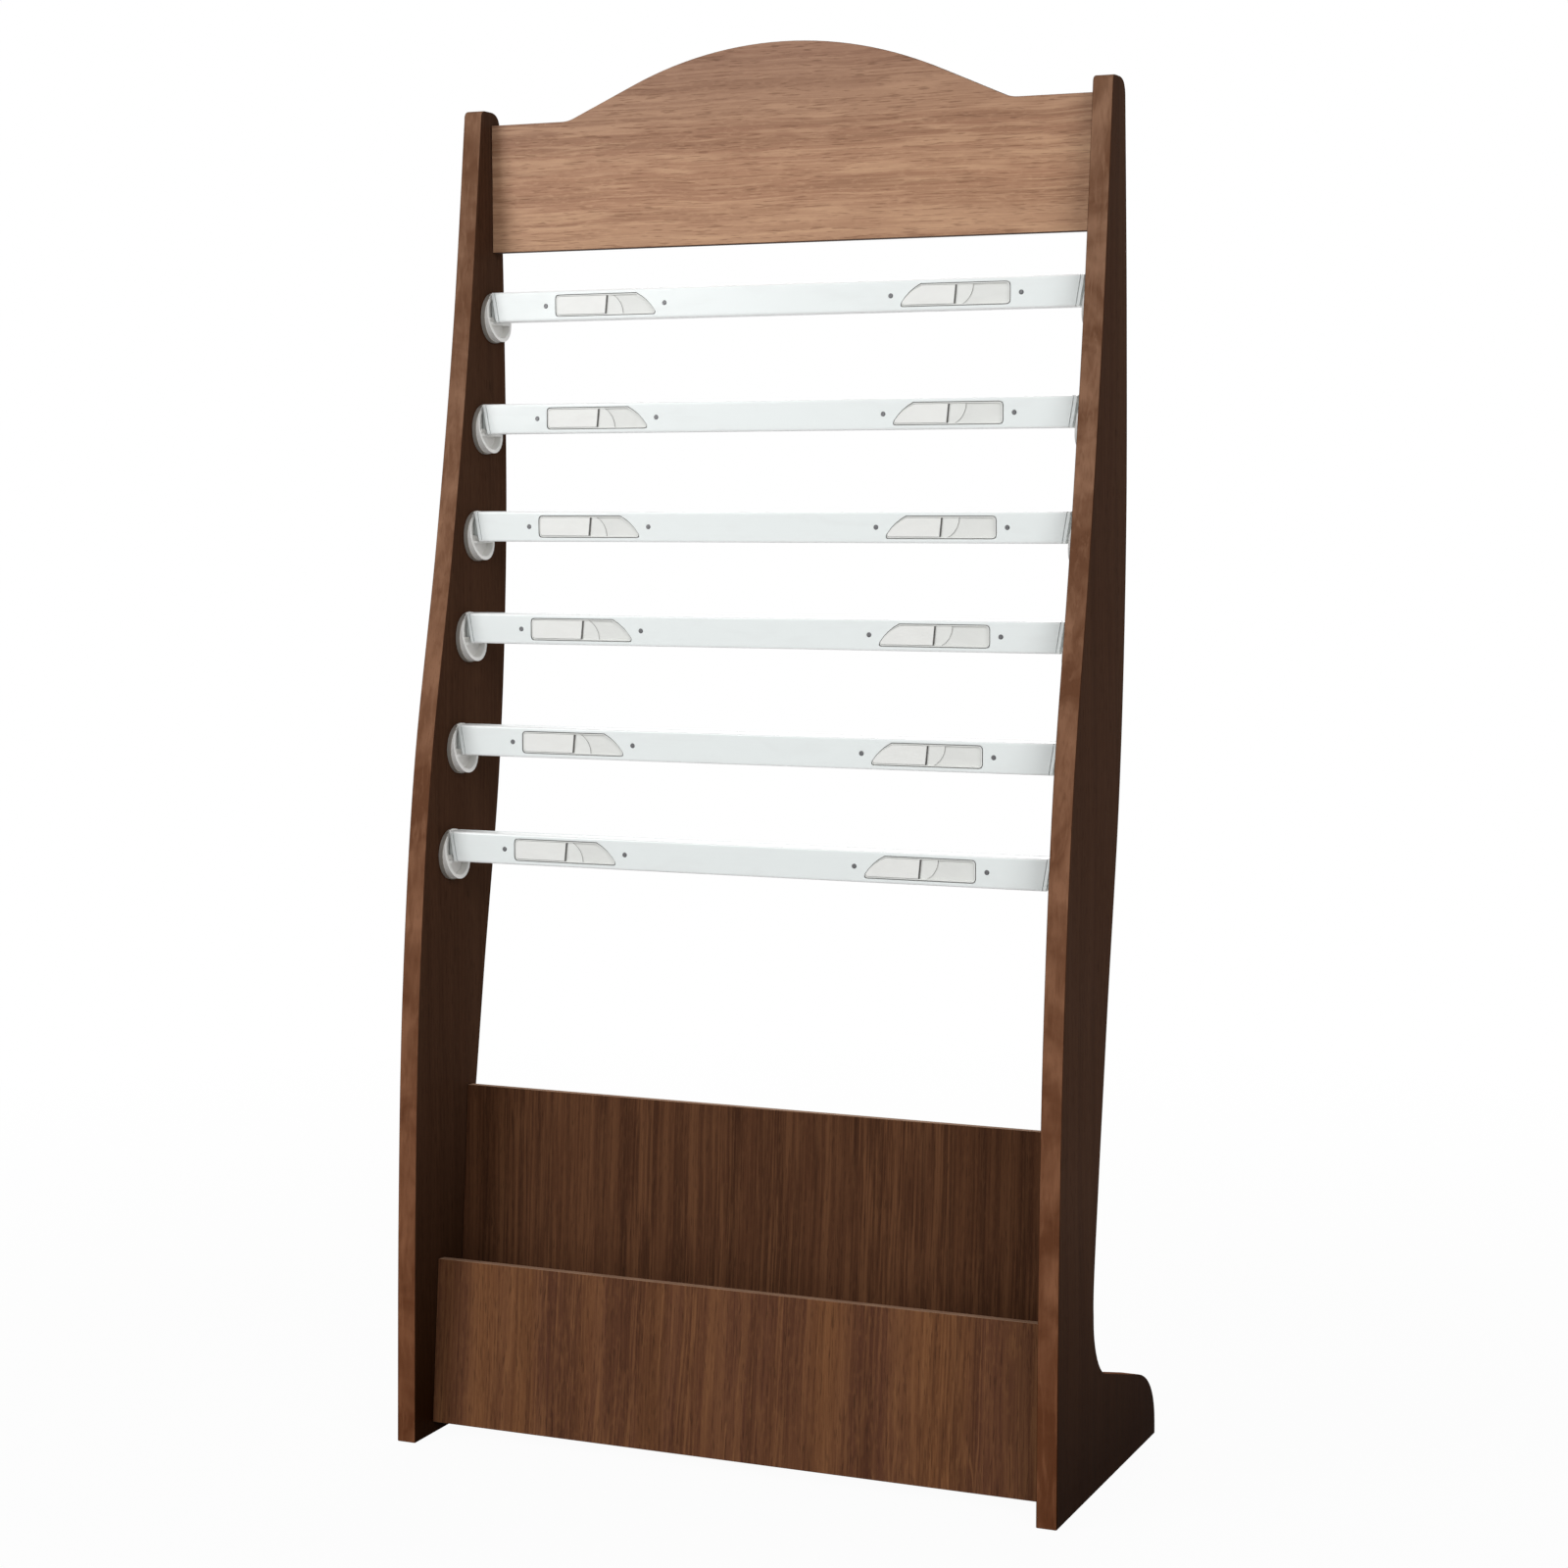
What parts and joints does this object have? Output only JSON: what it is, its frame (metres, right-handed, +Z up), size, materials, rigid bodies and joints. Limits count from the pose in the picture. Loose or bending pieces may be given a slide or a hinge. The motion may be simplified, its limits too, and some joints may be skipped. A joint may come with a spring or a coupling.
{
  "type": "periodical display rack",
  "caption": "Free-standing walnut-look rack: swept side panels carry an arched header, a low leaning trough and white clamp bars that open and lift out of round holders.",
  "frame": {"origin": "on the floor, under the middle of the rack's outer box", "axes": "+X along the bars to a viewer's right, +Y from the front to the back, +Z up"},
  "size_m": [0.68, 0.308, 1.365],
  "materials": {
    "walnut_laminate": "satin walnut-look laminate",
    "white_metal": "smooth white powder coat on aluminium",
    "white_plastic": "moulded, slightly warm white",
    "holder_plastic": "moulded, pale grey",
    "grip_rubber": "matt extruded strip"
  },
  "bodies": {
    "frame": {"side_panel_left": "walnut_laminate", "side_panel_right": "walnut_laminate", "header_board": "walnut_laminate", "trough_front_board": "walnut_laminate", "trough_back_board": "walnut_laminate", "trough_shelf": "walnut_laminate", "bar_holder_1_left": "holder_plastic", "bar_holder_1_right": "holder_plastic", "bar_holder_2_left": "holder_plastic", "bar_holder_2_right": "holder_plastic", "bar_holder_3_left": "holder_plastic", "bar_holder_3_right": "holder_plastic", "bar_holder_4_left": "holder_plastic", "bar_holder_4_right": "holder_plastic", "bar_holder_5_left": "holder_plastic", "bar_holder_5_right": "holder_plastic", "bar_holder_6_left": "holder_plastic", "bar_holder_6_right": "holder_plastic"},
    "bar_1": {"bar_1_back_rail": "white_metal", "bar_1_grip_strip": "grip_rubber"},
    "bar_1_jaw": {"bar_1_front_jaw": "white_metal", "bar_1_latch_housing_left": "white_plastic", "bar_1_latch_housing_right": "white_plastic"},
    "bar_1_latch_left": {"bar_1_latch_slider_left": "white_plastic"},
    "bar_1_latch_right": {"bar_1_latch_slider_right": "white_plastic"},
    "bar_2": {"bar_2_back_rail": "white_metal", "bar_2_grip_strip": "grip_rubber"},
    "bar_2_jaw": {"bar_2_front_jaw": "white_metal", "bar_2_latch_housing_left": "white_plastic", "bar_2_latch_housing_right": "white_plastic"},
    "bar_2_latch_left": {"bar_2_latch_slider_left": "white_plastic"},
    "bar_2_latch_right": {"bar_2_latch_slider_right": "white_plastic"},
    "bar_3": {"bar_3_back_rail": "white_metal", "bar_3_grip_strip": "grip_rubber"},
    "bar_3_jaw": {"bar_3_front_jaw": "white_metal", "bar_3_latch_housing_left": "white_plastic", "bar_3_latch_housing_right": "white_plastic"},
    "bar_3_latch_left": {"bar_3_latch_slider_left": "white_plastic"},
    "bar_3_latch_right": {"bar_3_latch_slider_right": "white_plastic"},
    "bar_4": {"bar_4_back_rail": "white_metal", "bar_4_grip_strip": "grip_rubber"},
    "bar_4_jaw": {"bar_4_front_jaw": "white_metal", "bar_4_latch_housing_left": "white_plastic", "bar_4_latch_housing_right": "white_plastic"},
    "bar_4_latch_left": {"bar_4_latch_slider_left": "white_plastic"},
    "bar_4_latch_right": {"bar_4_latch_slider_right": "white_plastic"},
    "bar_5": {"bar_5_back_rail": "white_metal", "bar_5_grip_strip": "grip_rubber"},
    "bar_5_jaw": {"bar_5_front_jaw": "white_metal", "bar_5_latch_housing_left": "white_plastic", "bar_5_latch_housing_right": "white_plastic"},
    "bar_5_latch_left": {"bar_5_latch_slider_left": "white_plastic"},
    "bar_5_latch_right": {"bar_5_latch_slider_right": "white_plastic"},
    "bar_6": {"bar_6_back_rail": "white_metal", "bar_6_grip_strip": "grip_rubber"},
    "bar_6_jaw": {"bar_6_front_jaw": "white_metal", "bar_6_latch_housing_left": "white_plastic", "bar_6_latch_housing_right": "white_plastic"},
    "bar_6_latch_left": {"bar_6_latch_slider_left": "white_plastic"},
    "bar_6_latch_right": {"bar_6_latch_slider_right": "white_plastic"}
  },
  "joints": [
    {"name": "bar_1_lift", "type": "slide", "parent": "frame", "child": "bar_1", "axis": [0, 0, 1], "range_m": [0, 0.036]},
    {"name": "bar_1_jaw_open", "type": "hinge", "parent": "bar_1", "child": "bar_1_jaw", "pos_m": [0, 0.0258, 1.12755], "axis": [-1, 0, 0], "range_deg": [0, 40]},
    {"name": "bar_1_latch_left_slide", "type": "slide", "parent": "bar_1_jaw", "child": "bar_1_latch_left", "axis": [1, 0, 0], "range_m": [0, 0.018]},
    {"name": "bar_1_latch_right_slide", "type": "slide", "parent": "bar_1_jaw", "child": "bar_1_latch_right", "axis": [1, 0, 0], "range_m": [0, 0.018]},
    {"name": "bar_2_lift", "type": "slide", "parent": "frame", "child": "bar_2", "axis": [0, 0, 1], "range_m": [0, 0.036]},
    {"name": "bar_2_jaw_open", "type": "hinge", "parent": "bar_2", "child": "bar_2_jaw", "pos_m": [0, 0.00529, 1.01515], "axis": [-1, 0, 0], "range_deg": [0, 40]},
    {"name": "bar_2_latch_left_slide", "type": "slide", "parent": "bar_2_jaw", "child": "bar_2_latch_left", "axis": [1, 0, 0], "range_m": [0, 0.018]},
    {"name": "bar_2_latch_right_slide", "type": "slide", "parent": "bar_2_jaw", "child": "bar_2_latch_right", "axis": [1, 0, 0], "range_m": [0, 0.018]},
    {"name": "bar_3_lift", "type": "slide", "parent": "frame", "child": "bar_3", "axis": [0, 0, 1], "range_m": [0, 0.036]},
    {"name": "bar_3_jaw_open", "type": "hinge", "parent": "bar_3", "child": "bar_3_jaw", "pos_m": [0, -0.01422, 0.90825], "axis": [-1, 0, 0], "range_deg": [0, 40]},
    {"name": "bar_3_latch_left_slide", "type": "slide", "parent": "bar_3_jaw", "child": "bar_3_latch_left", "axis": [1, 0, 0], "range_m": [0, 0.018]},
    {"name": "bar_3_latch_right_slide", "type": "slide", "parent": "bar_3_jaw", "child": "bar_3_latch_right", "axis": [1, 0, 0], "range_m": [0, 0.018]},
    {"name": "bar_4_lift", "type": "slide", "parent": "frame", "child": "bar_4", "axis": [0, 0, 1], "range_m": [0, 0.036]},
    {"name": "bar_4_jaw_open", "type": "hinge", "parent": "bar_4", "child": "bar_4_jaw", "pos_m": [0, -0.0326, 0.80755], "axis": [-1, 0, 0], "range_deg": [0, 40]},
    {"name": "bar_4_latch_left_slide", "type": "slide", "parent": "bar_4_jaw", "child": "bar_4_latch_left", "axis": [1, 0, 0], "range_m": [0, 0.018]},
    {"name": "bar_4_latch_right_slide", "type": "slide", "parent": "bar_4_jaw", "child": "bar_4_latch_right", "axis": [1, 0, 0], "range_m": [0, 0.018]},
    {"name": "bar_5_lift", "type": "slide", "parent": "frame", "child": "bar_5", "axis": [0, 0, 1], "range_m": [0, 0.036]},
    {"name": "bar_5_jaw_open", "type": "hinge", "parent": "bar_5", "child": "bar_5_jaw", "pos_m": [0, -0.05271, 0.69735], "axis": [-1, 0, 0], "range_deg": [0, 40]},
    {"name": "bar_5_latch_left_slide", "type": "slide", "parent": "bar_5_jaw", "child": "bar_5_latch_left", "axis": [1, 0, 0], "range_m": [0, 0.018]},
    {"name": "bar_5_latch_right_slide", "type": "slide", "parent": "bar_5_jaw", "child": "bar_5_latch_right", "axis": [1, 0, 0], "range_m": [0, 0.018]},
    {"name": "bar_6_lift", "type": "slide", "parent": "frame", "child": "bar_6", "axis": [0, 0, 1], "range_m": [0, 0.036]},
    {"name": "bar_6_jaw_open", "type": "hinge", "parent": "bar_6", "child": "bar_6_jaw", "pos_m": [0, -0.07169, 0.59335], "axis": [-1, 0, 0], "range_deg": [0, 40]},
    {"name": "bar_6_latch_left_slide", "type": "slide", "parent": "bar_6_jaw", "child": "bar_6_latch_left", "axis": [1, 0, 0], "range_m": [0, 0.018]},
    {"name": "bar_6_latch_right_slide", "type": "slide", "parent": "bar_6_jaw", "child": "bar_6_latch_right", "axis": [1, 0, 0], "range_m": [0, 0.018]}
  ]
}
